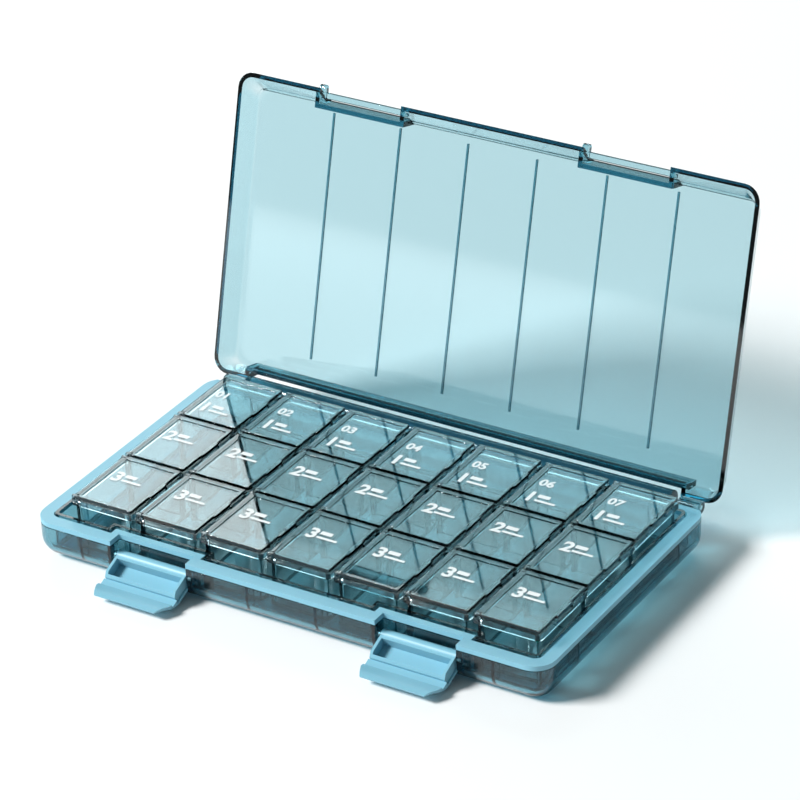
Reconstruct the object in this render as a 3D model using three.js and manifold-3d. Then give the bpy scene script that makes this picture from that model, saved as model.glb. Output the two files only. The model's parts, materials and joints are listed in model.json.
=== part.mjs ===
// Medicine box for one week: a see-through tub with a pale blue rim, seven lift-out day
// boxes of three compartments each, twenty-one small lids, one big lid and two latches.
// Millimetres, Z up, X along the long side, Y towards the hinge of the big lid.
// The origin is in the middle of the underside. The big lid and the latches stand open.
import * as THREE from "three";
import Module from "manifold-3d";

const wasm = await Module();
wasm.setup();
const { Manifold, Mesh } = wasm;

// what everything is built round: seven days of three compartments
const DAYS = 7;
const ROWS = 3;
const COL_PITCH = 28.5;
const ROW_PITCH = 34.5;
const MARGIN_X = 8.5; // from the outermost compartments to the rim's outer edge
const MARGIN_Y = 9.0;

// what every cut and every joined piece may use
const OVERRUN = 2.0; // how far a cut runs past what it cuts
const OVERLAP = 1.0; // how far a joined piece runs into its neighbour
const SEAT_GAP = 0.3; // clearance where two pieces sit on each other
const ROUND = 6; // steps in a quarter of a circle
const SMALL_ROUND = 10; // steps in a whole circle of a small pivot
const PIN_ROUND = 12; // and of a pin
const CORNER_MIN = 1.0;

// the tub and its rim
const FRAME_TOP = 16.0;
const FRAME_T = 2.0;
const FRAME_R = 8.2;
const STRIP_W = 5.2; // width of the flat strip of the rim
const BASE_EDGE_R = 8.0; // rounded lower edge
const BASE_WALL = 1.8;
const FLOOR_T = 1.8;
const COLLAR_T = 1.3;
const COLLAR_R = 2.4;
const COLLAR_GAP = 0.55; // between the rim's inner edge and the collar
const COLLAR_UP = 0.6; // how far the collar shows over the rim
const CHANNEL_FLOOR = 4.0;
const RIB_T = 1.2;
const RIB_X_SHARES = [-0.804, -0.134, 0.134, 0.804]; // ribs of the front and rear channel
const RIB_Y_SHARES = [-0.593, 0.626]; // ribs of the side channels

// day boxes
const BOX_RIM_GAP = 0.9; // between the rims of two neighbouring day boxes
const BOX_RIM_OUT = 1.2; // how far that rim stands out from the walls
const BOX_RIM_H = 2.4;
const BOX_END = 0.5; // how far that rim reaches past the end lids
const BOX_WALL = 1.1;
const BOX_FLOOR = 1.2;
const BOX_SHIFT_X = 1.6; // the boxes have some play and stand right of the middle
const BOX_SHIFT_Y = 0.9;
const BOX_RIM_R = 1.6;
const BOX_INNER_R = 2.0;
const BOX_CORNER_STEPS = 2;
const LIDS_TOP = 7.5; // top of the small lids over the rim
const FINGER_D = 1.2; // notch under the tab of a lid
const FINGER_SIDE = 0.4;
const FINGER_SKIN = 0.2; // left of the rim behind that notch

// small lids
const LID_T = 1.3;
const LID_GAP = 0.3; // between a lid and the box below it
const LID_ROW_GAP = 1.7;
const LID_LEFT = 0.7; // from the box rim's left edge
const LID_RIGHT = 0.7; // from its right edge
const LID_PIVOT_R = 1.2;
const LID_BORDER = { left: 3.3, right: 1.3, front: 1.3, rear: 2.1 };
const LID_SINK = 0.4; // depth of the panel inside the border
const LID_TAB_SHARES = [0.36, 0.68]; // parts of the lid's length
const EAR_T = 1.1;
const EAR_IN = 1.1; // past the pivot
const EAR_GAP = 0.4;
const EAR_DOWN = 0.1; // below the lids' top
const STUB_R = 0.55;
const STUB_HOLE_R = 0.85;
const STUB_L = 0.8;

// latches: u runs from the pin to the free edge, w from the outside to the inside
const LATCH_X = 56.5;
const LATCH_W = 32.0;
const LATCH_PIN_IN = 3.35; // from the rim's front edge
const LATCH_PIN_DOWN = 7.2; // below the rim's top
const LATCH_OPEN = 22.5; // degrees below level
const LATCH_LAP = 0.7; // how far the outer skin is wider than the box behind it, on each side
const LATCH_SIDE_T = 1.1;
const LATCH_OUT = 3.7;
const LATCH_SKIN = 1.1;
const LATCH_PIN_R = 1.1;
const LATCH_PIN_END = 1.1; // in the walls of the notch
const LATCH_BORE_GAP = 0.3;
const LATCH_BARREL_T = 0.7;
const LATCH_HEEL = 0.2; // how far the skin reaches past the pin
const LATCH_FLAT = 8.0; // flat part of the outer face
const LATCH_TIP = 20.3;
const LATCH_TIP_IN = 1.9; // the lip bends inwards as far as this
const LATCH_TIP_T = 0.7;
const LATCH_LIP_T = 2.0; // beside the groove
const LATCH_LIP_STEPS = 8;
const LATCH_LIP_BACK_STEPS = 4;
const LATCH_BEND = 1.3; // a power: how late the lip bends
const LATCH_BACK = 1.5; // inner edge of the box
const LATCH_BACK_FROM = 1.5;
const LATCH_BACK_EDGE = 1.7; // chamfer beside the groove
const LATCH_POCKET_IN = 1.0; // from the end of the box to its pocket
const LATCH_CORNER_L = 5.3; // cut corner of the lip, along and across
const LATCH_CORNER_W = 2.9;
const GRIP_BELOW = 0.8; // room round the bar in the latch's groove
const GRIP_ABOVE = 0.6;
const GRIP_FLOOR = 0.45;

// latch notches in the tub's front
const NOTCH_GAP = 0.5; // beside the latch
const NOTCH_D = 5.85;
const NOTCH_FLOOR = 3.2;
const NOTCH_SIDE = 2.0; // wall between the notch and the channel beside it
const JOG_Y = 3.3; // how far the rim's inner edge steps in behind a notch
const JOG_SIDE = 3.1; // how far that step reaches past the notch

// big lid, in its closed place
const BIG_OVER_X = 2.9; // past the rim, on each side
const BIG_REAR_IN = 1.6; // its hinge side ends this far inside the rim
const BIG_SHIFT_X = 0.9; // play of the hinge, to the right
const BIG_GAP = 0.3; // over the rim
const BIG_DEPTH = 8.2; // inside
const BIG_PANEL_T = 1.6;
const BIG_WALL = 1.8;
const BIG_R = 6.5;
const BIG_R_TAPER = 2.5; // the inner corners are this much tighter at the panel
const BIG_EDGE_R = 2.4; // rounded edge of the panel
const BIG_SLOPE_SIDE = 3.1;
const BIG_SLOPE_FRONT = 6.0;
const BIG_SLOPE_REAR = 0.9;
const BIG_OPEN = 105; // degrees
const BIG_RIBS = 6;
const BIG_RIB_PITCH = 29.5;
const BIG_RIB_SHIFT = 1.6; // the ribs lie right of the lid's middle
const BIG_RIB_W = 0.8;
const BIG_RIB_H = 0.4;
const BIG_RIB_REAR = 12.0; // from the hinge side
const BIG_RIB_FRONT = 10.4; // from the front
const RECESS_X = 56.8;
const RECESS_GAP = 1.8; // beside the latch
const RECESS_D = 6.1;
const BAR_OUT = 2.5; // bar, from the front edge of the big lid
const BAR_D = 2.1;
const BAR_LOW = 4.0; // over the rim's top
const BAR_H = 1.9;
const BAR_END_L = 2.4; // block on the bar's left end
const BAR_END_OUT = 0.5;
const BAR_END_R = 1.5;

// hinge of the big lid
const HINGE_OUT = 0.35; // axis, from the rim's outer edge
const HINGE_DOWN = 0.6; // axis, below the rim's top
const STEP_END = 13.65; // from the rim's end to the end of the big lid's step
const STEP_D = 3.0;
const STEP_H = 7.0;
const BARREL_END = 1.4; // between the ends of the barrel and of the step
const BARREL_R = 3.8;
const KNUCKLE_R = 2.2;
const KNUCKLE_L = 9.0;
const KNUCKLE_GAP = 0.6;
const KNUCKLE_END_T = 1.0; // closed end of a knuckle
const KNUCKLE_ARM_T = 1.1;
const HINGE_PIN_R = 0.7;
const HINGE_BORE_R = 1.0;
const HINGE_PIN_IN = 6.0;
const PIN_PLAY = 0.5; // at the end of a pin
const RAIL_LOW = 7.0; // where the rail under the barrel leaves the wall

const frameX = (DAYS * COL_PITCH) / 2 + MARGIN_X;
const frameY = (ROWS * ROW_PITCH) / 2 + MARGIN_Y;
const frameLow = FRAME_TOP - FRAME_T;
const shoulder = frameLow - SEAT_GAP;
const lidsTop = FRAME_TOP + LIDS_TOP;
const boxTop = lidsTop - LID_T - LID_GAP;
const boxBottom = FLOOR_T + SEAT_GAP;
const boxW = COL_PITCH - BOX_RIM_GAP;
const boxL = ROWS * ROW_PITCH - LID_ROW_GAP + 2 * BOX_END;
const boxX0 = -(DAYS * COL_PITCH - BOX_RIM_GAP) / 2 + BOX_SHIFT_X;
const boxY0 = -boxL / 2 + BOX_SHIFT_Y;
const lidL = ROW_PITCH - LID_ROW_GAP;
const hingeY = frameY + HINGE_OUT;
const hingeZ = FRAME_TOP - HINGE_DOWN;
const latchY = -frameY + LATCH_PIN_IN;
const latchZ = FRAME_TOP - LATCH_PIN_DOWN;
const latchXs = [-LATCH_X, LATCH_X];
const latchBore = LATCH_PIN_R + LATCH_BORE_GAP;
const notchHalf = LATCH_W / 2 + NOTCH_GAP;
const notchBack = -frameY + NOTCH_D;
const bigX = frameX + BIG_OVER_X;
const bigFront = -frameY;
const bigRear = frameY - BIG_REAR_IN;
const bigLow = FRAME_TOP + BIG_GAP;
const bigHigh = bigLow + BIG_DEPTH + BIG_PANEL_T;
const recessHalf = LATCH_W / 2 + RECESS_GAP;
const recessXs = [-RECESS_X, RECESS_X];
const stepX = frameX - STEP_END;
const barrelX = stepX - BARREL_END;
const knuckleX = [stepX + KNUCKLE_GAP, stepX + KNUCKLE_GAP + KNUCKLE_L];
const knuckleRoom = [barrelX + SEAT_GAP, knuckleX[1] + BIG_SHIFT_X + SEAT_GAP];

const mesh = (g) => {
  const geometry = g.index ? g.clone() : mergeByPlace(g);
  geometry.deleteAttribute("normal");
  geometry.deleteAttribute("uv");
  const merged = mergeByPlace(geometry);
  const m = new Mesh({
    numProp: 3,
    vertProperties: new Float32Array(merged.attributes.position.array),
    triVerts: new Uint32Array(merged.index.array),
  });
  m.merge();
  return new Manifold(m);
};

// one vertex for each place, so that neighbouring faces share their corners
function mergeByPlace(g) {
  const p = g.attributes.position;
  const count = g.index ? g.index.count : p.count;
  const seen = new Map();
  const points = [];
  const faces = [];
  for (let i = 0; i < count; i++) {
    const k = g.index ? g.index.getX(i) : i;
    const v = [p.getX(k), p.getY(k), p.getZ(k)];
    const key = v.map((a) => Math.round(a * 1e5)).join();
    if (!seen.has(key)) {
      seen.set(key, points.length / 3);
      points.push(...v);
    }
    faces.push(seen.get(key));
  }
  const kept = [];
  for (let i = 0; i < faces.length; i += 3) {
    const [a, b, c] = faces.slice(i, i + 3);
    if (a !== b && b !== c && c !== a) kept.push(a, b, c);
  }
  const out = new THREE.BufferGeometry();
  out.setAttribute("position", new THREE.BufferAttribute(new Float32Array(points), 3));
  out.setIndex(kept);
  return out;
}

function box(x0, x1, y0, y1, z0, z1) {
  const g = new THREE.BoxGeometry(x1 - x0, y1 - y0, z1 - z0);
  g.translate((x0 + x1) / 2, (y0 + y1) / 2, (z0 + z1) / 2);
  return mesh(g);
}

// a round bar along X
function rod(x0, x1, y, z, r, steps = 4 * ROUND) {
  const g = new THREE.CylinderGeometry(r, r, x1 - x0, steps);
  g.rotateZ(Math.PI / 2);
  g.translate((x0 + x1) / 2, y, z);
  return mesh(g);
}

// a small round bar along Y
function rodY(y0, y1, x, z, r, steps = SMALL_ROUND) {
  const g = new THREE.CylinderGeometry(r, r, y1 - y0, steps);
  g.translate(x, (y0 + y1) / 2, z);
  return mesh(g);
}

function prism(points, z0, z1) {
  const shape = new THREE.Shape(points.map(([x, y]) => new THREE.Vector2(x, y)));
  const g = new THREE.ExtrudeGeometry(shape, { depth: z1 - z0, bevelEnabled: false });
  g.translate(0, 0, z0);
  return mesh(g);
}

// an outline in Y and Z, run along X
function alongX(points, x0, x1) {
  const shape = new THREE.Shape(points.map(([y, z]) => new THREE.Vector2(y, z)));
  const g = new THREE.ExtrudeGeometry(shape, { depth: x1 - x0, bevelEnabled: false });
  g.translate(0, 0, x0);
  g.applyMatrix4(new THREE.Matrix4().set(0, 0, 1, 0, 1, 0, 0, 0, 0, 1, 0, 0, 0, 0, 0, 1));
  return mesh(g);
}

function roundRect(x0, x1, y0, y1, r, steps = ROUND) {
  const out = [];
  const centres = [[x1 - r, y1 - r], [x0 + r, y1 - r], [x0 + r, y0 + r], [x1 - r, y0 + r]];
  centres.forEach(([cx, cy], quarter) => {
    for (let i = 0; i <= steps; i++) {
      const a = ((quarter + i / steps) * Math.PI) / 2;
      out.push([cx + r * Math.cos(a), cy + r * Math.sin(a)]);
    }
  });
  return out;
}

// a closed body through outlines that have the same number of corners: [[z, outline], ...]
function loft(sections) {
  const n = sections[0][1].length;
  const points = [];
  for (const [z, outline] of sections) for (const [x, y] of outline) points.push(x, y, z);
  const faces = [];
  for (let s = 0; s + 1 < sections.length; s++) {
    for (let i = 0; i < n; i++) {
      const a = s * n + i;
      const b = s * n + ((i + 1) % n);
      faces.push(a, b, b + n, a, b + n, a + n);
    }
  }
  const flat = sections[0][1].map(([x, y]) => new THREE.Vector2(x, y));
  for (const [a, b, c] of THREE.ShapeUtils.triangulateShape(flat, [])) {
    const top = (sections.length - 1) * n;
    faces.push(a, c, b, top + a, top + b, top + c);
  }
  const g = new THREE.BufferGeometry();
  g.setAttribute("position", new THREE.BufferAttribute(new Float32Array(points), 3));
  g.setIndex(faces);
  return mesh(g);
}

const add = (...parts) => Manifold.union(parts);
const cut = (a, ...parts) => Manifold.difference(a, Manifold.union(parts));
// two places along X on the left (s = -1) or the right (s = 1), the smaller first
const ends = (s, a, b) => [s * a, s * b].sort((p, q) => p - q);

// the tub's outside, shrunk by "less" all round: straight walls and a rounded lower edge
function tub(less, low, high) {
  const sections = [];
  const r = BASE_EDGE_R - less;
  for (let i = 0; i <= ROUND; i++) {
    const a = (i / ROUND) * (Math.PI / 2);
    sections.push([less + r * (1 - Math.cos(a)), less + r * (1 - Math.sin(a))]);
  }
  sections.push([high, less]);
  const body = loft(sections.map(([z, inset]) => {
    const corner = Math.max(FRAME_R - inset, CORNER_MIN);
    return [z, roundRect(-frameX + inset, frameX - inset, -frameY + inset, frameY - inset, corner)];
  }));
  return low > less ? cut(body, box(-frameX, frameX, -frameY, frameY, -OVERRUN, low)) : body;
}

// an opening with a step behind each notch, "side" wide on either hand and "deep" deep
function opening(x, front, rear, corner, side, deep) {
  const outline = roundRect(-x, x, front, rear, corner);
  const cutAt = outline.length - (ROUND + 1); // the front edge starts before the last corner
  const steps = [];
  for (const c of latchXs) {
    steps.push([c - side, front], [c - side, front + deep], [c + side, front + deep]);
    steps.push([c + side, front]);
  }
  return [...outline.slice(0, cutAt), ...steps, ...outline.slice(cutAt)];
}

// the collar's outer face, grown by "more"
const collar = (more) => opening(
  frameX - STRIP_W - COLLAR_GAP + more,
  -frameY + STRIP_W + COLLAR_GAP - more,
  frameY - STRIP_W - COLLAR_GAP + more,
  COLLAR_R + more,
  notchHalf + JOG_SIDE + 2 * COLLAR_GAP - more,
  JOG_Y + SEAT_GAP);

function makeBase() {
  const top = FRAME_TOP + COLLAR_UP;
  let shell = add(tub(0, 0, shoulder), prism(collar(0), FLOOR_T, top));
  // the channel between the outer wall and the collar, with its ribs left standing
  const keep = [];
  for (const share of RIB_X_SHARES) {
    const x = share * frameX;
    keep.push(box(x - RIB_T / 2, x + RIB_T / 2, -frameY, frameY, 0, shoulder));
  }
  for (const share of RIB_Y_SHARES) {
    const y = share * frameY;
    keep.push(box(-frameX, frameX, y - RIB_T / 2, y + RIB_T / 2, 0, shoulder));
  }
  for (const c of latchXs) {
    const half = notchHalf + NOTCH_SIDE;
    keep.push(box(c - half, c + half, -frameY, notchBack + COLLAR_T, 0, shoulder));
  }
  const channel = cut(
    tub(BASE_WALL, CHANNEL_FLOOR, top + OVERRUN), prism(collar(0), 0, top + 2 * OVERRUN), ...keep);
  shell = cut(shell, channel, prism(collar(-COLLAR_T), FLOOR_T, top + OVERRUN));
  const end = LATCH_PIN_END + LATCH_BORE_GAP;
  for (const c of latchXs) {
    shell = cut(
      shell,
      box(c - notchHalf, c + notchHalf, -frameY - OVERRUN, notchBack, NOTCH_FLOOR, top),
      rod(c - notchHalf - end, c + notchHalf + end, latchY, latchZ, latchBore));
  }
  // barrel for the big lid, on a rail that swells out of the rear wall
  const rail = add(
    alongX([
      [frameY - BASE_WALL, RAIL_LOW], [frameY, RAIL_LOW], [hingeY + BARREL_R, hingeZ],
      [hingeY - BARREL_R, hingeZ],
    ], -barrelX, barrelX),
    rod(-barrelX, barrelX, hingeY, hingeZ, BARREL_R));
  const less = [];
  for (const s of [-1, 1]) {
    const bore = ends(s, barrelX - HINGE_PIN_IN - PIN_PLAY, barrelX + OVERRUN);
    less.push(rod(...bore, hingeY, hingeZ, HINGE_BORE_R));
    // room under the big lid's knuckle
    less.push(box(...ends(s, ...knuckleRoom), hingeY - KNUCKLE_R - SEAT_GAP, frameY + OVERRUN,
      hingeZ - KNUCKLE_R - SEAT_GAP, FRAME_TOP));
  }
  return cut(add(shell, rail), ...less);
}

function makeFrame() {
  const high = FRAME_TOP + OVERRUN;
  const low = frameLow - OVERRUN;
  const inner = opening(
    frameX - STRIP_W, -frameY + STRIP_W, frameY - STRIP_W, COLLAR_R + COLLAR_GAP,
    notchHalf + JOG_SIDE, JOG_Y);
  const ring = prism(roundRect(-frameX, frameX, -frameY, frameY, FRAME_R), frameLow, FRAME_TOP);
  const barrel = barrelX + SEAT_GAP;
  const less = [
    prism(inner, low, high),
    box(-barrel, barrel, hingeY - BARREL_R - SEAT_GAP, frameY + OVERRUN, low, high),
  ];
  for (const s of [-1, 1]) {
    less.push(box(...ends(s, ...knuckleRoom), hingeY - KNUCKLE_R - SEAT_GAP, frameY + OVERRUN, low, high));
  }
  for (const c of latchXs) {
    less.push(box(c - notchHalf, c + notchHalf, -frameY - OVERRUN, notchBack, low, high));
  }
  return cut(ring, ...less);
}

const lidY = (row) => boxY0 + BOX_END + row * ROW_PITCH;
const boxX = (day) => boxX0 + day * COL_PITCH;
const pivotX = (day) => boxX(day) + LID_LEFT + LID_PIVOT_R;
const pivotZ = lidsTop - LID_PIVOT_R;

function makeDayBox(day) {
  const x0 = boxX(day);
  const x1 = x0 + boxW;
  const y0 = boxY0;
  const y1 = boxY0 + boxL;
  const out = BOX_RIM_OUT;
  const wall = out + BOX_WALL;
  const between = (LID_ROW_GAP - BOX_WALL) / 2; // half a gap less half a wall
  const steps = BOX_CORNER_STEPS;
  const body = add(
    prism(roundRect(x0 + out, x1 - out, y0 + out, y1 - out, BOX_RIM_R, steps), boxBottom, boxTop),
    prism(roundRect(x0, x1, y0, y1, BOX_RIM_R, steps), boxTop - BOX_RIM_H, boxTop));
  const holes = [];
  for (let row = 0; row < ROWS; row++) {
    const a = row ? lidY(row) - between : y0 + wall;
    const b = row < ROWS - 1 ? lidY(row) + lidL + between : y1 - wall;
    const hole = roundRect(x0 + wall, x1 - wall, a, b, BOX_INNER_R, steps);
    holes.push(prism(hole, boxBottom + BOX_FLOOR, boxTop + OVERRUN));
    // finger notch under the tab of the lid
    const [from, to] = LID_TAB_SHARES.map((share) => lidY(row) + share * lidL);
    holes.push(box(x1 - out + FINGER_SKIN, x1 + OVERRUN, from - FINGER_SIDE, to + FINGER_SIDE,
      boxTop - FINGER_D, boxTop + OVERRUN));
  }
  // a trough for the pivots of the lids
  holes.push(box(x0 - OVERRUN, pivotX(day) + LID_PIVOT_R + LID_GAP, y0 - OVERRUN, y1 + OVERRUN,
    pivotZ - LID_PIVOT_R - LID_GAP, boxTop + OVERRUN));
  // ears that carry the pivots
  const ears = [];
  const bores = [];
  for (let row = 0; row < ROWS; row++) {
    for (const a of [lidY(row), lidY(row) + lidL - EAR_T]) {
      ears.push(box(x0 + LID_LEFT, pivotX(day) + EAR_IN, a, a + EAR_T, boxTop - BOX_RIM_H,
        lidsTop - EAR_DOWN));
      bores.push(rodY(a - SEAT_GAP, a + EAR_T + SEAT_GAP, pivotX(day), pivotZ, STUB_HOLE_R));
    }
  }
  return cut(add(cut(body, ...holes), ...ears), ...bores);
}

function makeSmallLid(day, row) {
  const x0 = boxX(day) + LID_LEFT;
  const x1 = boxX(day) + boxW - LID_RIGHT;
  const y0 = lidY(row);
  const y1 = y0 + lidL;
  const low = lidsTop - LID_T;
  const px = pivotX(day);
  const ear = EAR_T + EAR_GAP;
  const b = LID_BORDER;
  const [from, to] = LID_TAB_SHARES.map((share) => y0 + share * lidL);
  const plate = add(
    box(px, x1, y0, y1, low, lidsTop),
    box(x1 - OVERLAP, x1 + LID_RIGHT, from, to, low, lidsTop));
  const earRoom = (a, c) => box(
    x0 - OVERRUN, px + EAR_IN + EAR_GAP, a, c, low - OVERRUN, lidsTop + OVERRUN);
  const sunk = box(x0 + b.left, x1 - b.right, y0 + b.front, y1 - b.rear, lidsTop - LID_SINK,
    lidsTop + OVERRUN);
  const stub = STUB_L + EAR_GAP;
  return add(
    cut(plate, sunk, earRoom(y0 - OVERRUN, y0 + ear), earRoom(y1 - ear, y1 + OVERRUN)),
    rodY(y0 + ear, y1 - ear, px, pivotZ, LID_PIVOT_R),
    rodY(y0 + ear - stub, y0 + ear + OVERLAP, px, pivotZ, STUB_R),
    rodY(y1 - ear - OVERLAP, y1 - ear + stub, px, pivotZ, STUB_R));
}

// the big lid: a shallow tray upside down, its walls leaning in towards the panel
function bigShape(outer) {
  const wall = outer ? 0 : BIG_WALL;
  const at = (t, more) => {
    const inset = wall + more;
    const side = bigX - inset - BIG_SLOPE_SIDE * t;
    const front = bigFront + inset + BIG_SLOPE_FRONT * t;
    const corner = Math.max(BIG_R - wall - (outer ? 0 : BIG_R_TAPER * t), CORNER_MIN);
    return roundRect(-side, side, front, bigRear - inset - BIG_SLOPE_REAR * t, corner);
  };
  if (!outer) {
    return loft([[bigLow - OVERRUN, at(0, 0)], [bigLow, at(0, 0)], [bigLow + BIG_DEPTH, at(1, 0)]]);
  }
  const edge = bigHigh - BIG_EDGE_R;
  const t = (edge - bigLow) / BIG_DEPTH;
  const sections = [[bigLow, at(0, 0)]];
  for (let i = 0; i <= ROUND; i += 2) {
    const a = (i / ROUND) * (Math.PI / 2);
    sections.push([edge + BIG_EDGE_R * Math.sin(a), at(t, BIG_EDGE_R * (1 - Math.cos(a)))]);
  }
  return loft(sections);
}

function makeBigLid() {
  const low = bigLow - OVERRUN;
  const half = recessHalf;
  const barZ = [FRAME_TOP + BAR_LOW, FRAME_TOP + BAR_LOW + BAR_H];
  const barBack = bigFront + BAR_OUT + BAR_D;
  const panelZ = bigLow + BIG_DEPTH;
  // what is left standing inside: the step and the walls round the recesses
  const wallX = stepX + BIG_WALL;
  const keep = [box(-wallX, wallX, bigRear - STEP_D - BIG_WALL, bigRear + OVERRUN, low, bigHigh)];
  for (const c of recessXs) {
    keep.push(box(c - half - BIG_WALL, c + half + BIG_WALL, bigFront - OVERRUN,
      bigFront + RECESS_D + BIG_WALL, low, bigHigh));
  }
  const more = [];
  for (let i = 0; i < BIG_RIBS; i++) {
    const x = (i - (BIG_RIBS - 1) / 2) * BIG_RIB_PITCH + BIG_RIB_SHIFT;
    more.push(box(x - BIG_RIB_W / 2, x + BIG_RIB_W / 2, bigFront + BIG_RIB_FRONT,
      bigRear - BIG_RIB_REAR, panelZ - BIG_RIB_H, panelZ + OVERLAP));
  }
  const shell = add(cut(bigShape(true), cut(bigShape(false), ...keep)), ...more);
  const less = [
    box(-stepX, stepX, bigRear - STEP_D, bigRear + OVERRUN, low, bigLow + STEP_H),
    // room over the tub's collar, which doesn't shift with the lid
    prism(collar(SEAT_GAP), low, FRAME_TOP + COLLAR_UP + SEAT_GAP).translate([-BIG_SHIFT_X, 0, 0]),
  ];
  const added = [];
  for (const c of recessXs) {
    less.push(box(c - half, c + half, bigFront - OVERRUN, bigFront + RECESS_D, low, bigHigh + OVERRUN));
    added.push(box(c - half - OVERLAP, c + half + OVERLAP, bigFront + BAR_OUT, barBack, ...barZ));
    // a rounded block on the bar's left end, which stands out of the leaning front wall
    const out = bigFront - BAR_END_OUT + BAR_END_R;
    const middle = (barZ[0] + barZ[1]) / 2;
    const left = [c - half - BAR_END_L, c - half];
    added.push(rod(...left, out, middle, BAR_END_R));
    added.push(box(...left, out, barBack, middle - BAR_END_R, middle + BAR_END_R));
  }
  const bores = [];
  for (const s of [-1, 1]) {
    const x = ends(s, ...knuckleX);
    added.push(rod(...x, hingeY, hingeZ, KNUCKLE_R));
    added.push(box(...x, bigRear - BIG_WALL, hingeY, bigLow, bigLow + KNUCKLE_ARM_T));
    bores.push(rod(...ends(s, stepX, knuckleX[1] - KNUCKLE_END_T), hingeY, hingeZ, HINGE_BORE_R));
  }
  return cut(add(cut(shell, ...less), ...added), ...bores).translate([BIG_SHIFT_X, 0, 0]);
}

function makeHingePin(s) {
  const end = knuckleX[1] - KNUCKLE_END_T - BIG_SHIFT_X - PIN_PLAY;
  return rod(...ends(s, barrelX - HINGE_PIN_IN, end), hingeY, hingeZ, HINGE_PIN_R, PIN_ROUND);
}

// the latch's side view, around a groove for the big lid's bar
function latchOutline() {
  const barLow = FRAME_TOP + BAR_LOW - latchZ;
  const groove = [barLow - GRIP_BELOW, barLow + BAR_H + GRIP_ABOVE];
  const floor = bigFront + BAR_OUT - latchY - GRIP_FLOOR;
  const skin = -LATCH_OUT + LATCH_SKIN;
  const outside = (u) => {
    const t = ((u - LATCH_FLAT) / (LATCH_TIP - LATCH_FLAT)) ** LATCH_BEND;
    return -LATCH_OUT + (LATCH_OUT + LATCH_TIP_IN) * t * t * (3 - 2 * t);
  };
  const points = [[-LATCH_HEEL, -LATCH_OUT]];
  for (let i = 0; i <= LATCH_LIP_STEPS; i++) {
    const u = LATCH_FLAT + (i / LATCH_LIP_STEPS) * (LATCH_TIP - LATCH_FLAT);
    points.push([u, outside(u)]);
  }
  // back along the inside of the lip
  for (let i = 0; i <= LATCH_LIP_BACK_STEPS; i++) {
    const t = i / LATCH_LIP_BACK_STEPS;
    const u = LATCH_TIP - t * (LATCH_TIP - groove[1]);
    points.push([u, outside(u) + LATCH_TIP_T + t * (LATCH_LIP_T - LATCH_TIP_T)]);
  }
  points.push([groove[1], floor], [groove[0], floor], [groove[0], LATCH_BACK - LATCH_BACK_EDGE]);
  points.push([groove[0] - LATCH_BACK_EDGE, LATCH_BACK], [LATCH_BACK_FROM, LATCH_BACK]);
  points.push([LATCH_BACK_FROM, skin], [-LATCH_HEEL, skin]);
  return { points, groove, skin };
}

// a latch lying level, its pin along X through the origin, the free edge towards -Y
function makeLatch() {
  const { points, groove, skin } = latchOutline();
  const half = LATCH_W / 2;
  const boxHalf = half - LATCH_LAP;
  const top = LATCH_BACK + OVERRUN;
  const shape = new THREE.Shape(points.map(([u, w]) => new THREE.Vector2(u, w)));
  const g = new THREE.ExtrudeGeometry(shape, { depth: LATCH_W, bevelEnabled: false });
  g.translate(0, 0, -half);
  // the shape's x goes to -Y, its y to Z and its depth to -X
  g.applyMatrix4(new THREE.Matrix4().set(0, 0, -1, 0, -1, 0, 0, 0, 0, 1, 0, 0, 0, 0, 0, 1));
  const barrel = LATCH_PIN_R + LATCH_BORE_GAP + LATCH_BARREL_T;
  const inside = boxHalf - LATCH_SIDE_T;
  const less = [
    box(-inside, inside, -groove[0] + LATCH_POCKET_IN, -LATCH_BACK_FROM - LATCH_POCKET_IN, skin, top),
  ];
  for (const s of [-1, 1]) {
    // the box on the inside is narrower than the outer skin
    less.push(box(...ends(s, boxHalf, half + OVERRUN), -groove[0], OVERRUN, skin, top));
    const far = s * (half + OVERRUN);
    const slant = (OVERRUN * LATCH_CORNER_L) / LATCH_CORNER_W;
    const corner = [
      [far, -LATCH_TIP + LATCH_CORNER_L + slant], [s * (half - LATCH_CORNER_W), -LATCH_TIP],
      [s * (half - LATCH_CORNER_W), -LATCH_TIP - OVERRUN], [far, -LATCH_TIP - OVERRUN],
    ];
    less.push(prism(s > 0 ? corner.reverse() : corner, -LATCH_OUT, top + OVERRUN));
  }
  const body = add(
    cut(mesh(g), ...less),
    rod(-boxHalf, boxHalf, 0, 0, barrel),
    box(-boxHalf, boxHalf, -LATCH_BACK_FROM - LATCH_POCKET_IN, 0, skin - OVERLAP / 2, 0));
  return cut(body, rod(-half - OVERRUN, half + OVERRUN, 0, 0, latchBore));
}

const looks = {
  teal: { color: 0x6fa3ab, roughness: 0.15, transparent: true, opacity: 0.6 },
  blue: { color: 0x8fcbe6, roughness: 0.35 },
  clear: { color: 0xd6eef2, roughness: 0.1, transparent: true, opacity: 0.45 },
  pin: { color: 0xb9c9d2, roughness: 0.3, metalness: 0.6 },
};

const group = new THREE.Group();
group.name = "medicine_box";

function place(name, solid, look, pose) {
  const m = solid.getMesh();
  const g = new THREE.BufferGeometry();
  g.setAttribute("position", new THREE.BufferAttribute(new Float32Array(m.vertProperties), 3));
  g.setIndex(new THREE.BufferAttribute(new Uint32Array(m.triVerts), 1));
  if (pose) g.applyMatrix4(pose);
  const part = new THREE.Mesh(g, new THREE.MeshStandardMaterial(looks[look]));
  part.name = name;
  group.add(part);
}

const turnAbout = (y, z, degrees) =>
  new THREE.Matrix4()
    .makeTranslation(0, y, z)
    .multiply(new THREE.Matrix4().makeRotationX((degrees * Math.PI) / 180))
    .multiply(new THREE.Matrix4().makeTranslation(0, -y, -z));

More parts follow.
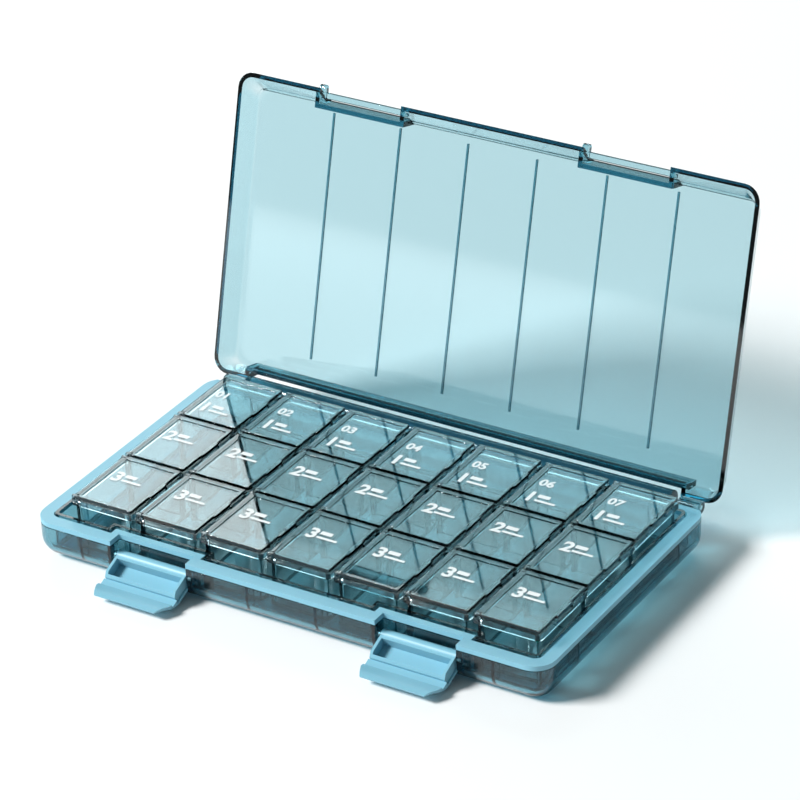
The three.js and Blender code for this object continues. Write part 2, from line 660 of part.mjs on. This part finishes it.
const sides = [["left", -1], ["right", 1]];
place("base_shell", makeBase(), "teal");
place("rim_frame", makeFrame(), "blue");
for (let day = 0; day < DAYS; day++) {
  place(`day_box_${day + 1}`, makeDayBox(day), "clear");
  for (let row = 0; row < ROWS; row++) {
    place(`lid_${day + 1}_${ROWS - row}`, makeSmallLid(day, row), "clear");
  }
}
place("big_lid", makeBigLid(), "teal", turnAbout(hingeY, hingeZ, -BIG_OPEN));
for (const [name, s] of sides) place(`lid_hinge_pin_${name}`, makeHingePin(s), "pin");
const latch = makeLatch();
const latchPin = notchHalf + LATCH_PIN_END;
for (const [name, s] of sides) {
  const x = s * LATCH_X;
  const pose = new THREE.Matrix4()
    .makeTranslation(x, latchY, latchZ)
    .multiply(new THREE.Matrix4().makeRotationX((LATCH_OPEN * Math.PI) / 180));
  place(`latch_${name}`, latch, "blue", pose);
  const pin = rod(x - latchPin, x + latchPin, latchY, latchZ, LATCH_PIN_R, PIN_ROUND);
  place(`latch_pin_${name}`, pin, "pin");
}

export default group;
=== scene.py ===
import json
import math

import bmesh
import bpy
from mathutils import Euler, Matrix, Vector


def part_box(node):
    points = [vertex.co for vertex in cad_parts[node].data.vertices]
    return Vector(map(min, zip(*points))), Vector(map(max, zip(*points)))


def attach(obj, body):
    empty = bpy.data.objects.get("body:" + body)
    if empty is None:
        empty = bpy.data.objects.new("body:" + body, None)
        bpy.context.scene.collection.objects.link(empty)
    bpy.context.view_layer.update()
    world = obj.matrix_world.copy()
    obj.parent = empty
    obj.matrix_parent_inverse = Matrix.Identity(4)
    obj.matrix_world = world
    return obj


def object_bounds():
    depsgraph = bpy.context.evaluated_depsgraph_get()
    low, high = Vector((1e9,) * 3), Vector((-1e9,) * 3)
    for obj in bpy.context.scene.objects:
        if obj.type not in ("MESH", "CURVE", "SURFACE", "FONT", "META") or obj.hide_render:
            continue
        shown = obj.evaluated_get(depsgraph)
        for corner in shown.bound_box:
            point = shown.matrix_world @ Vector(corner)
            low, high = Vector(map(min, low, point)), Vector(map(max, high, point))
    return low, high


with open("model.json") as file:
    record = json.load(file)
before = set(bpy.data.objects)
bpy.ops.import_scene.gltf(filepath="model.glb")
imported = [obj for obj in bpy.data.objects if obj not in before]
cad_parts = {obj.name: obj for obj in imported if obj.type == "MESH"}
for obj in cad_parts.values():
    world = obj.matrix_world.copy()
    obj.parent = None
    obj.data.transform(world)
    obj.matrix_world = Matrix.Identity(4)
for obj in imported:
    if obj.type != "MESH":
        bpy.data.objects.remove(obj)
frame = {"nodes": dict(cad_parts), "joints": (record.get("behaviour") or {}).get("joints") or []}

bl_info = {
    "name": "Medicine box for a week",
    "version": (1, 0, 0),
    "blender": (4, 5, 0),
    "location": "View3D > Sidebar > Medicine box",
    "description": "Finishes, prints and stage of a see-through medicine box with seven day boxes",
    "category": "Object",
}

CAD_LOW, CAD_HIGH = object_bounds()
DAYS = sum(name.startswith("day_box_") for name in frame["nodes"])
ROWS = sum(name.startswith("lid_1_") for name in frame["nodes"])
SIDES = ("left", "right")
MM = 0.001

# the big lid's ribs, in millimetres, as the CAD has them with the box closed: how many, how far
# apart, how far right of the lid's middle, from where to where, and how high their lower face is
RIBS = 6
RIB_PITCH = 29.5
RIB_SHIFT = 1.6
RIB_FRONT, RIB_REAR = -50.35, 47.15
RIB_FACE = 24.1
# the painted shade line, a dark strip under a rib's lower face: its own height, and its gap from that face
RIB_SHADE_DEEP = 0.15
RIB_SHADE_GAP = 0.01

# polystyrene's refractive index, and the roughness of each polished surface
TINTED_IOR = 1.57
TINTED_ROUGHNESS = 0.03
RIB_ROUGHNESS = 0.1
CLEAR_IOR = 1.59
CLEAR_ROUGHNESS = 0.02
# flow waves that the mould leaves: their length and their depth, in millimetres
TINTED_WAVE = (45, 0.001)
CLEAR_WAVE = (40, 0.0004)
# what one surface lets through of a lamp's light, given as a colour
TUB_LAMP_LIGHT = "E6E0DE"
BIG_LID_LAMP_LIGHT = "BAB3B2"
CLEAR_LAMP_LIGHT = "F4F2F1"
# the sockets of a Mix node that hold colours; those for numbers have the same names
MIX_FIRST, MIX_SECOND, MIX_RESULT = 6, 7, 2

# rounding of the CAD's edges: points this near to each other are joined, faces that differ by less
# than the flat angle become one, and edges sharper than the sharp angle are rounded
WELD = 0.002 * MM
FLAT_ANGLE = math.radians(0.5)
SHARP_ANGLE = math.radians(32)
PIN_ROUND_MM = 0.1

# print on the small lids: how deep their field lies inside its border, and how near two points of
# the print are joined
FIELD_SUNK = 0.4 * MM
SAME_POINT = 0.001 * MM
# where the row's number stands on a rear lid and on the others, and the day's number on a rear lid,
# as shares of the lid's width and length
REAR_ROW_SHARES = (0.165, 0.19)
ROW_SHARES = (0.19, 0.5)
DAY_SHARES = (0.175, 0.54)
# the two bars beside a row's number: how far right of its left edge they start, and the foot and
# height of each, as shares of the number's height, and the width of each as a share of the lid's
BARS_LEFT_SHARE = 0.75
BAR_SHARES = (
    {"foot": 0.55, "height": 0.34, "width": 0.18},
    {"foot": 0.1, "height": 0.2, "width": 0.32},
)
# a number's height as a share of the built-in font's size, and how far its outline is moved out to
# thicken the strokes, as a share of the number's height
FONT_HEIGHT_SHARE = 0.7
THICKEN_SHARE = 0.05

# the floor, in metres: half its width, and how far it lies under the box, so that the underside
# of the tub shows the paper
FLOOR_HALF = 4.0
FLOOR_DOWN = 0.3 * MM
# each lamp's azimuth from the front towards the right and its elevation, in degrees, and then its
# distance, width and height, in metres; level faces mirror the soft light to the camera
KEY_LIGHT = (-50, 38, 5.0, 1.6, 1.3)
SOFT_LIGHT = (-147.4, 29.3, 3.0, 1.8, 1.2)

# the camera that the photograph was taken with, as fitted to the box: its place, its turn about X,
# Y and Z in degrees, and the distance in metres at which it starts to see
CAMERA_PLACE = (673.1 * MM, -1028.0 * MM, 753.1 * MM)
CAMERA_TURN = (60.657, 2.136, 31.4)
CAMERA_NEAR = 0.05
FOCAL_PIXELS = 3918.7
IMAGE_PIXELS = 800
SENSOR_MM = 36.0


def linear(hex_colour):
    """An sRGB hex value, such as "8CC8E1", as linear red, green, blue and alpha."""
    channels = [int(hex_colour[i:i + 2], 16) / 255 for i in (0, 2, 4)]
    knee, slope, offset, power = 0.04045, 12.92, 0.055, 2.4
    return [c / slope if c <= knee else ((c + offset) / (1 + offset)) ** power for c in channels] + [1.0]


def dimmed(colour, share):
    """A linear colour with its red, green and blue brought down to a share, and alpha 1."""
    return [c * share for c in colour[:3]] + [1.0]


def colour_prop(name, description, hex_colour):
    return bpy.props.FloatVectorProperty(
        name=name, description=description, subtype="COLOR", size=4, min=0, max=1,
        default=linear(hex_colour))


class ShellSettings(bpy.types.PropertyGroup):
    """Tinted see-through tub and big lid"""
    tint: colour_prop("Tint", "Colour of the light that passes a thick piece of the plastic", "78CCD8")
    density: bpy.props.FloatProperty(
        name="Depth of tint of the lid", description="How strongly each metre of the big lid absorbs",
        default=500.0, min=0)
    tub_density: bpy.props.FloatProperty(
        name="Depth of tint of the tub", description="How strongly each metre of the tub absorbs",
        default=600.0, min=0)
    round_mm: bpy.props.FloatProperty(
        name="Edge radius", description="Rounding of the moulded edges, in millimetres",
        default=0.35, min=0)
    # the dark rib line is painted shade: a thin strip of strongly absorbing plastic laid where the light
    # leaves a dark line along a rib
    rib_mm: bpy.props.FloatProperty(
        name="Painted rib shade width", description="Width of the painted shade line on a rib, in millimetres",
        default=0.8, min=0)
    rib_density: bpy.props.FloatProperty(
        name="Depth of tint of the painted rib shade", description="How strongly each metre of the painted rib shade absorbs",
        default=16000.0, min=0)


class RimSettings(bpy.types.PropertyGroup):
    """Opaque blue rim and latches"""
    colour: colour_prop("Colour", "Colour of the opaque blue plastic", "82BCD0")
    round_mm: bpy.props.FloatProperty(
        name="Edge radius", description="Rounding of the moulded edges, in millimetres",
        default=0.3, min=0)


class BoxSettings(bpy.types.PropertyGroup):
    """Clear day boxes and their lids"""
    tint: colour_prop("Tint", "Colour of the light that passes a thick piece of the plastic", "52ADB9")
    density: bpy.props.FloatProperty(
        name="Depth of tint of the boxes", description="How strongly each metre of a day box absorbs",
        default=150.0, min=0)
    lid_density: bpy.props.FloatProperty(
        name="Depth of tint of the lids", description="How strongly each metre of a small lid absorbs",
        default=340.0, min=0)
    round_mm: bpy.props.FloatProperty(
        name="Edge radius", description="Rounding of the moulded edges, in millimetres",
        default=0.18, min=0)


class PrintSettings(bpy.types.PropertyGroup):
    """Numbers printed on the small lids"""
    ink: colour_prop("Ink", "Colour of the printed ink", "F4F8F8")
    digit: bpy.props.FloatProperty(
        name="Row number", description="Height of a row's number", default=6.2 * MM, unit="LENGTH")
    day_digit: bpy.props.FloatProperty(
        name="Day number", description="Height of a day's number", default=4.2 * MM, unit="LENGTH")
    thickness: bpy.props.FloatProperty(
        name="Ink thickness", description="Thickness of the printed ink", default=0.03 * MM,
        unit="LENGTH")


class StageSettings(bpy.types.PropertyGroup):
    """Floor, light and camera"""
    floor: colour_prop("Floor", "Colour of the paper floor", "F7F8F8")
    key: bpy.props.FloatProperty(
        name="Key light", description="Power of the main light from the left", default=360.0,
        unit="POWER")
    soft: bpy.props.FloatProperty(
        name="Soft light", description="Power of the wide light behind the box", default=24.0,
        unit="POWER")
    soft_colour: colour_prop("Soft light's colour", "Colour of the wide light", "EFFAFB")
    sky: bpy.props.FloatProperty(
        name="Room light", description="Strength of the even light all round", default=0.2, min=0)
    sky_colour: colour_prop("Room light's colour", "Colour of the even light", "DDF1F4")


def add_node(tree, kind, links=(), values=(), **settings):
    """Adds a node. Settings name its attributes or its sockets, links are (socket, source socket),
    and values are (socket, value) for sockets that a name can't tell apart."""
    node = tree.nodes.new(kind)
    for key, value in settings.items():
        if hasattr(node, key):
            setattr(node, key, value)
        else:
            node.inputs[key.replace("_", " ")].default_value = value
    for socket, value in values:
        node.inputs[socket].default_value = value
    for socket, source in links:
        tree.links.new(source, node.inputs[socket])
    return node


def new_material(name):
    material = bpy.data.materials.new(name)
    material.use_nodes = True
    material.node_tree.nodes.clear()
    return material, material.node_tree


def clear_moulded(name, tint, density, ior, roughness, wave, lamp_light):
    """Polished see-through moulding: thin walls are pale, thick ones and edges dark, and faint flow
    waves bend what shows through. Each surface lets a share of the lamps' light pass, so that what
    lies behind the plastic isn't left in the dark."""
    material, tree = new_material(name)
    wave_length, wave_depth = wave
    place = add_node(tree, "ShaderNodeTexCoord")
    flow = add_node(
        tree, "ShaderNodeTexNoise", [("Vector", place.outputs["Object"])],
        Scale=1 / (wave_length * MM), Detail=1.0, Roughness=0.4)
    bump = add_node(
        tree, "ShaderNodeBump", [("Height", flow.outputs["Fac"])],
        Strength=1.0, Distance=wave_depth * MM)
    plastic = add_node(
        tree, "ShaderNodeBsdfPrincipled", [("Normal", bump.outputs["Normal"])],
        Base_Color=linear("FFFFFF"), Roughness=roughness, IOR=ior, Transmission_Weight=1.0)
    passed = add_node(tree, "ShaderNodeBsdfTransparent", Color=linear(lamp_light))
    path = add_node(tree, "ShaderNodeLightPath")
    surface = add_node(
        tree, "ShaderNodeMixShader",
        [("Fac", path.outputs["Is Shadow Ray"]), (1, plastic.outputs["BSDF"]), (2, passed.outputs["BSDF"])])
    depth = add_node(tree, "ShaderNodeVolumeAbsorption", Color=tint, Density=density)
    add_node(
        tree, "ShaderNodeOutputMaterial",
        [("Surface", surface.outputs["Shader"]), ("Volume", depth.outputs["Volume"])])
    return material


def satin_polypropylene(name, colour, grain_mm=0.5, cloud_mm=30, cloud_share=0.92):
    """Opaque polypropylene from a spark-eroded mould: a soft sheen, a barely uneven colour, and a
    fine grain, drawn coarser than the real one so that it can show."""
    material, tree = new_material(name)
    place = add_node(tree, "ShaderNodeTexCoord")
    grain = add_node(
        tree, "ShaderNodeTexNoise", [("Vector", place.outputs["Object"])],
        Scale=1 / (grain_mm * MM), Detail=3.0, Roughness=0.6)
    rough = add_node(
        tree, "ShaderNodeMapRange", [("Value", grain.outputs["Fac"])], To_Min=0.32, To_Max=0.46)
    bump = add_node(
        tree, "ShaderNodeBump", [("Height", grain.outputs["Fac"])], Strength=0.15, Distance=0.02 * MM)
    cloud = add_node(
        tree, "ShaderNodeTexNoise", [("Vector", place.outputs["Object"])],
        Scale=1 / (cloud_mm * MM), Detail=2.0)
    shade = add_node(
        tree, "ShaderNodeMix", [("Factor", cloud.outputs["Fac"])],
        [(MIX_FIRST, colour), (MIX_SECOND, dimmed(colour, cloud_share))], data_type="RGBA")
    shader = add_node(
        tree, "ShaderNodeBsdfPrincipled",
        [("Base Color", shade.outputs[MIX_RESULT]), ("Roughness", rough.outputs["Result"]),
         ("Normal", bump.outputs["Normal"])],
        IOR=1.49, Subsurface_Weight=0.05, Subsurface_Scale=1.0 * MM)
    add_node(tree, "ShaderNodeOutputMaterial", [("Surface", shader.outputs["BSDF"])])
    return material


def drawn_steel(name, line_mm=20, line_apart_mm=0.2):
    """Drawn steel wire: bright metal with fine lines along its length, drawn further apart than
    the real ones so that they can show."""
    material, tree = new_material(name)
    place = add_node(tree, "ShaderNodeTexCoord")
    stretch = add_node(
        tree, "ShaderNodeMapping", [("Vector", place.outputs["Object"])],
        Scale=(1 / (line_mm * MM), 1 / (line_apart_mm * MM), 1 / (line_apart_mm * MM)))
    lines = add_node(
        tree, "ShaderNodeTexNoise", [("Vector", stretch.outputs["Vector"])], Scale=1.0, Detail=2.0)
    rough = add_node(
        tree, "ShaderNodeMapRange", [("Value", lines.outputs["Fac"])], To_Min=0.18, To_Max=0.35)
    shader = add_node(
        tree, "ShaderNodeBsdfPrincipled", [("Roughness", rough.outputs["Result"])],
        Base_Color=linear("C3C8CC"), Metallic=1.0)
    add_node(tree, "ShaderNodeOutputMaterial", [("Surface", shader.outputs["BSDF"])])
    return material


def pad_printed_ink(name, colour, speck_mm=0.25, thin_share=0.9):
    """Pad-printed ink: a thin matt film, a little uneven where the pad left it thinner."""
    material, tree = new_material(name)
    place = add_node(tree, "ShaderNodeTexCoord")
    speck = add_node(
        tree, "ShaderNodeTexNoise", [("Vector", place.outputs["Object"])],
        Scale=1 / (speck_mm * MM), Detail=2.0)
    shade = add_node(
        tree, "ShaderNodeMix", [("Factor", speck.outputs["Fac"])],
        [(MIX_FIRST, colour), (MIX_SECOND, dimmed(colour, thin_share))], data_type="RGBA")
    shader = add_node(
        tree, "ShaderNodeBsdfPrincipled", [("Base Color", shade.outputs[MIX_RESULT])], Roughness=0.5)
    add_node(tree, "ShaderNodeOutputMaterial", [("Surface", shader.outputs["BSDF"])])
    return material


def matt_paper(name, colour, tooth_mm=0.8):
    """Seamless paper: pale and matt, with a faint tooth."""
    material, tree = new_material(name)
    place = add_node(tree, "ShaderNodeTexCoord")
    tooth = add_node(
        tree, "ShaderNodeTexNoise", [("Vector", place.outputs["Object"])],
        Scale=1 / (tooth_mm * MM), Detail=2.0)
    bump = add_node(
        tree, "ShaderNodeBump", [("Height", tooth.outputs["Fac"])], Strength=0.05, Distance=0.05 * MM)
    shader = add_node(
        tree, "ShaderNodeBsdfPrincipled", [("Normal", bump.outputs["Normal"])],
        Base_Color=colour, Roughness=0.9)
    add_node(tree, "ShaderNodeOutputMaterial", [("Surface", shader.outputs["BSDF"])])
    return material


def dress(node, material, round_mm):
    """Gives a CAD piece its material and its rounded moulded edges."""
    piece = frame["nodes"][node]
    piece.data.materials.clear()
    piece.data.materials.append(material)
    for polygon in piece.data.polygons:
        polygon.use_smooth = True
    weld = piece.modifiers.new("join points", "WELD")
    weld.merge_threshold = WELD
    flat = piece.modifiers.new("flat faces", "DECIMATE")
    flat.decimate_type = "DISSOLVE"
    flat.angle_limit = FLAT_ANGLE
    bevel = piece.modifiers.new("rounded edges", "BEVEL")
    bevel.width = round_mm * MM
    bevel.segments = 2
    bevel.limit_method = "ANGLE"
    bevel.angle_limit = SHARP_ANGLE
    bevel.harden_normals = True
    normals = piece.modifiers.new("even shading", "WEIGHTED_NORMAL")
    normals.keep_sharp = True


def box_mesh(name, size, middle, turn=Matrix.Identity(4)):
    """A plain box about its middle, turned as a whole afterwards."""
    form = bmesh.new()
    place = turn @ Matrix.Translation(middle) @ Matrix.Diagonal((*size, 1))
    bmesh.ops.create_cube(form, size=1.0, matrix=place)
    mesh = bpy.data.meshes.new(name)
    form.to_mesh(mesh)
    form.free()
    return mesh


def new_piece(context, name, mesh, material):
    """A piece that the CAD doesn't have, in the scene and with its material."""
    piece = bpy.data.objects.new(name, mesh)
    context.scene.collection.objects.link(piece)
    mesh.materials.append(material)
    return piece


class MEDBOX_OT_shell(bpy.types.Operator):
    """Finishes the tinted tub and the big lid"""
    bl_idname = "medbox.shell"
    bl_label = "Tub and big lid"

    def execute(self, context):
        settings = context.scene.medbox_shell
        for node, name, density, lamp_light in (
                ("base_shell", "tub", settings.tub_density, TUB_LAMP_LIGHT),
                ("big_lid", "lid", settings.density, BIG_LID_LAMP_LIGHT)):
            plastic = clear_moulded(
                f"tinted polystyrene moulded and polished {name}", settings.tint, density,
                TINTED_IOR, TINTED_ROUGHNESS, TINTED_WAVE, lamp_light)
            dress(node, plastic, settings.round_mm)
        return {"FINISHED"}


def big_lid_opening():
    """The turn that takes the closed big lid to where the frame has it, open."""
    joint = next(joint for joint in frame["joints"] if joint["name"] == "big_lid_hinge")
    hinge = Vector(joint["pos_m"])
    turn = Matrix.Rotation(math.radians(-joint["range_deg"][0]), 4, Vector(joint["axis"]))
    return Matrix.Translation(hinge) @ turn @ Matrix.Translation(-hinge)


class MEDBOX_OT_ribs(bpy.types.Operator):
    """Lays a painted shade along each rib of the big lid: a strip of dark plastic where the light leaves a
    dark line
    """
    bl_idname = "medbox.ribs"
    bl_label = "Painted rib shade"

    def execute(self, context):
        settings = context.scene.medbox_shell
        # painted shade: strongly absorbing dark plastic laid along each rib
        plastic = clear_moulded(
            "tinted polystyrene painted rib shade", settings.tint, settings.rib_density,
            TINTED_IOR, RIB_ROUGHNESS, TINTED_WAVE, CLEAR_LAMP_LIGHT)
        opening = big_lid_opening()
        low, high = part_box("big_lid")
        size = (settings.rib_mm * MM, (RIB_REAR - RIB_FRONT) * MM, RIB_SHADE_DEEP * MM)
        y = (RIB_REAR + RIB_FRONT) / 2 * MM
        z = (RIB_FACE - RIB_SHADE_DEEP / 2 - RIB_SHADE_GAP) * MM
        for index in range(RIBS):
            x = (low.x + high.x) / 2 + ((index - (RIBS - 1) / 2) * RIB_PITCH + RIB_SHIFT) * MM
            name = f"rib_painted_shade_{index + 1}"
            piece = new_piece(context, name, box_mesh(name, size, (x, y, z), opening), plastic)
            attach(piece, "big_lid")
        return {"FINISHED"}


class MEDBOX_OT_rim(bpy.types.Operator):
    """Finishes the blue rim and the latches"""
    bl_idname = "medbox.rim"
    bl_label = "Rim and latches"

    def execute(self, context):
        settings = context.scene.medbox_rim
        plastic = satin_polypropylene("polypropylene moulded satin", settings.colour)
        for node in ("rim_frame", *(f"latch_{side}" for side in SIDES)):
            dress(node, plastic, settings.round_mm)
        return {"FINISHED"}


class MEDBOX_OT_boxes(bpy.types.Operator):
    """Finishes the day boxes and their small lids"""
    bl_idname = "medbox.boxes"
    bl_label = "Day boxes and lids"

    def execute(self, context):
        settings = context.scene.medbox_box
        plastic, lid_plastic = (
            clear_moulded(
                f"clear polystyrene moulded and polished {name}", settings.tint, density,
                CLEAR_IOR, CLEAR_ROUGHNESS, CLEAR_WAVE, CLEAR_LAMP_LIGHT)
            for name, density in (("box", settings.density), ("lid", settings.lid_density)))
        for day in range(1, DAYS + 1):
            dress(f"day_box_{day}", plastic, settings.round_mm)
            for row in range(1, ROWS + 1):
                dress(f"lid_{day}_{row}", lid_plastic, settings.round_mm)
        return {"FINISHED"}


class MEDBOX_OT_pins(bpy.types.Operator):
    """Finishes the steel pins of the hinge and the latches"""
    bl_idname = "medbox.pins"
    bl_label = "Pins"

    def execute(self, context):
        steel = drawn_steel("steel wire drawn")
        for side in SIDES:
            for node in (f"lid_hinge_pin_{side}", f"latch_pin_{side}"):
                dress(node, steel, PIN_ROUND_MM)
        return {"FINISHED"}


def type_mesh(text, height, thickness):
    """Plain type in the built-in font, from its lower left corner."""
    curve = bpy.data.curves.new("type", "FONT")
    curve.body = text
    curve.size = height / FONT_HEIGHT_SHARE
    curve.extrude = thickness / 2
    curve.offset = height * THICKEN_SHARE
    curve.resolution_u = 6
    holder = bpy.data.objects.new("type", curve)
    bpy.context.scene.collection.objects.link(holder)
    bpy.context.view_layer.update()
    mesh = bpy.data.meshes.new_from_object(holder.evaluated_get(bpy.context.evaluated_depsgraph_get()))
    bpy.data.objects.remove(holder)
    bpy.data.curves.remove(curve)
    return mesh


def stamp(form, mesh, corner, x, y):
    """Adds a flat mesh to a lid's print, x and y from the lid's front left corner, and frees it."""
    mesh.transform(Matrix.Translation((corner[0] + x, corner[1] + y, corner[2])))
    form.from_mesh(mesh)
    bpy.data.meshes.remove(mesh)


def print_mesh(settings, day, row):
    """The print of one small lid: its row's number, two plain bars, and on a rear lid its day's."""
    low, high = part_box(f"lid_{day}_{row}")
    width, length = high.x - low.x, high.y - low.y
    corner = (low.x, low.y, high.z - FIELD_SUNK + settings.thickness)
    digit = settings.digit
    shares = REAR_ROW_SHARES if row == 1 else ROW_SHARES
    left, foot = shares[0] * width, shares[1] * length
    form = bmesh.new()
    stamp(form, type_mesh(str(row), digit, settings.thickness), corner, left, foot)
    for bar in BAR_SHARES:
        size = (bar["width"] * width, bar["height"] * digit, settings.thickness)
        mesh = box_mesh("bar", size, (size[0] / 2, size[1] / 2, 0))
        stamp(form, mesh, corner, left + BARS_LEFT_SHARE * digit, foot + bar["foot"] * digit)
    if row == 1:
        mesh = type_mesh(f"{day:02d}", settings.day_digit, settings.thickness)
        stamp(form, mesh, corner, DAY_SHARES[0] * width, DAY_SHARES[1] * length)
    bmesh.ops.remove_doubles(form, verts=form.verts, dist=SAME_POINT)
    mesh = bpy.data.meshes.new(f"print_{day}_{row}")
    form.to_mesh(mesh)
    form.free()
    return mesh


class MEDBOX_OT_print(bpy.types.Operator):
    """Prints plain numbers on the small lids"""
    bl_idname = "medbox.print"
    bl_label = "Printed numbers"

    def execute(self, context):
        settings = context.scene.medbox_print
        ink = pad_printed_ink("ink pad-printed white", settings.ink)
        for day in range(1, DAYS + 1):
            for row in range(1, ROWS + 1):
                piece = new_piece(context, f"print_{day}_{row}", print_mesh(settings, day, row), ink)
                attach(piece, f"lid_{day}_{row}")
        return {"FINISHED"}


def add_floor(context, settings):
    """A wide level sheet of paper under the box."""
    mesh = bpy.data.meshes.new("floor")
    signs = ((-1, -1), (1, -1), (1, 1), (-1, 1))
    corners = [(x * FLOOR_HALF, y * FLOOR_HALF, -FLOOR_DOWN) for x, y in signs]
    mesh.from_pydata(corners, [], [(0, 1, 2, 3)])
    floor = new_piece(context, "floor", mesh, matt_paper("seamless paper", settings.floor))


def add_room_light(context, settings):
    """Even light from all round."""
    world = bpy.data.worlds.new("studio")
    world.use_nodes = True
    background = world.node_tree.nodes["Background"]
    background.inputs["Color"].default_value = settings.sky_colour
    background.inputs["Strength"].default_value = settings.sky
    context.scene.world = world


def add_lamp(context, name, placing, power, colour):
    """A rectangular lamp that shines at the middle of the box."""
    azimuth, elevation, distance, width, height = placing
    a, e = math.radians(azimuth), math.radians(elevation)
    back = Vector((math.sin(a) * math.cos(e), -math.cos(a) * math.cos(e), math.sin(e)))
    lamp = bpy.data.lights.new(name, "AREA")
    lamp.shape = "RECTANGLE"
    lamp.size = width
    lamp.size_y = height
    lamp.energy = power
    lamp.color = colour[:3]
    holder = bpy.data.objects.new(name, lamp)
    holder.location = (CAD_LOW + CAD_HIGH) / 2 + back * distance
    holder.rotation_mode = "QUATERNION"
    holder.rotation_quaternion = (-back).to_track_quat("-Z", "Y")
    context.scene.collection.objects.link(holder)


def add_camera(context):
    """The photograph's camera."""
    camera = bpy.data.cameras.new("camera")
    camera.sensor_width = SENSOR_MM
    camera.lens = FOCAL_PIXELS / IMAGE_PIXELS * SENSOR_MM
    camera.clip_start = CAMERA_NEAR
    holder = bpy.data.objects.new("camera", camera)
    turn = Euler([math.radians(angle) for angle in CAMERA_TURN])
    holder.matrix_world = Matrix.Translation(CAMERA_PLACE) @ turn.to_matrix().to_4x4()
    context.scene.collection.objects.link(holder)
    context.scene.camera = holder


class MEDBOX_OT_stage(bpy.types.Operator):
    """Sets the floor, the lights and the camera"""
    bl_idname = "medbox.stage"
    bl_label = "Stage"

    def execute(self, context):
        settings = context.scene.medbox_stage
        context.scene.view_settings.view_transform = "Standard"
        add_floor(context, settings)
        add_room_light(context, settings)
        add_lamp(context, "key light", KEY_LIGHT, settings.key, linear("FFFFFF"))
        add_lamp(context, "soft light", SOFT_LIGHT, settings.soft, settings.soft_colour)
        add_camera(context)
        return {"FINISHED"}


STEPS = (
    MEDBOX_OT_stage,
    MEDBOX_OT_shell,
    MEDBOX_OT_ribs,
    MEDBOX_OT_rim,
    MEDBOX_OT_boxes,
    MEDBOX_OT_pins,
    MEDBOX_OT_print,
)
SETTINGS = {
    "medbox_shell": ShellSettings,
    "medbox_rim": RimSettings,
    "medbox_box": BoxSettings,
    "medbox_print": PrintSettings,
    "medbox_stage": StageSettings,
}


class MEDBOX_PT_panel(bpy.types.Panel):
    """Sizes, colours and steps of the medicine box"""
    bl_idname = "MEDBOX_PT_panel"
    bl_label = "Medicine box"
    bl_space_type = "VIEW_3D"
    bl_region_type = "UI"
    bl_category = "Medicine box"

    def draw(self, context):
        for key, group in SETTINGS.items():
            box = self.layout.box()
            box.label(text=group.__doc__)
            for name in group.__annotations__:
                box.prop(getattr(context.scene, key), name)
        for step in STEPS:
            self.layout.operator(step.bl_idname)


def register():
    for kind in (*SETTINGS.values(), *STEPS, MEDBOX_PT_panel):
        bpy.utils.register_class(kind)
    for key, group in SETTINGS.items():
        setattr(bpy.types.Scene, key, bpy.props.PointerProperty(type=group))


def unregister():
    for key in SETTINGS:
        delattr(bpy.types.Scene, key)
    for kind in (MEDBOX_PT_panel, *reversed(STEPS), *reversed(SETTINGS.values())):
        bpy.utils.unregister_class(kind)


def main():
    register()
    for step in STEPS:
        group, name = step.bl_idname.split(".")
        getattr(getattr(bpy.ops, group), name)()


if __name__ == "__main__":
    main()
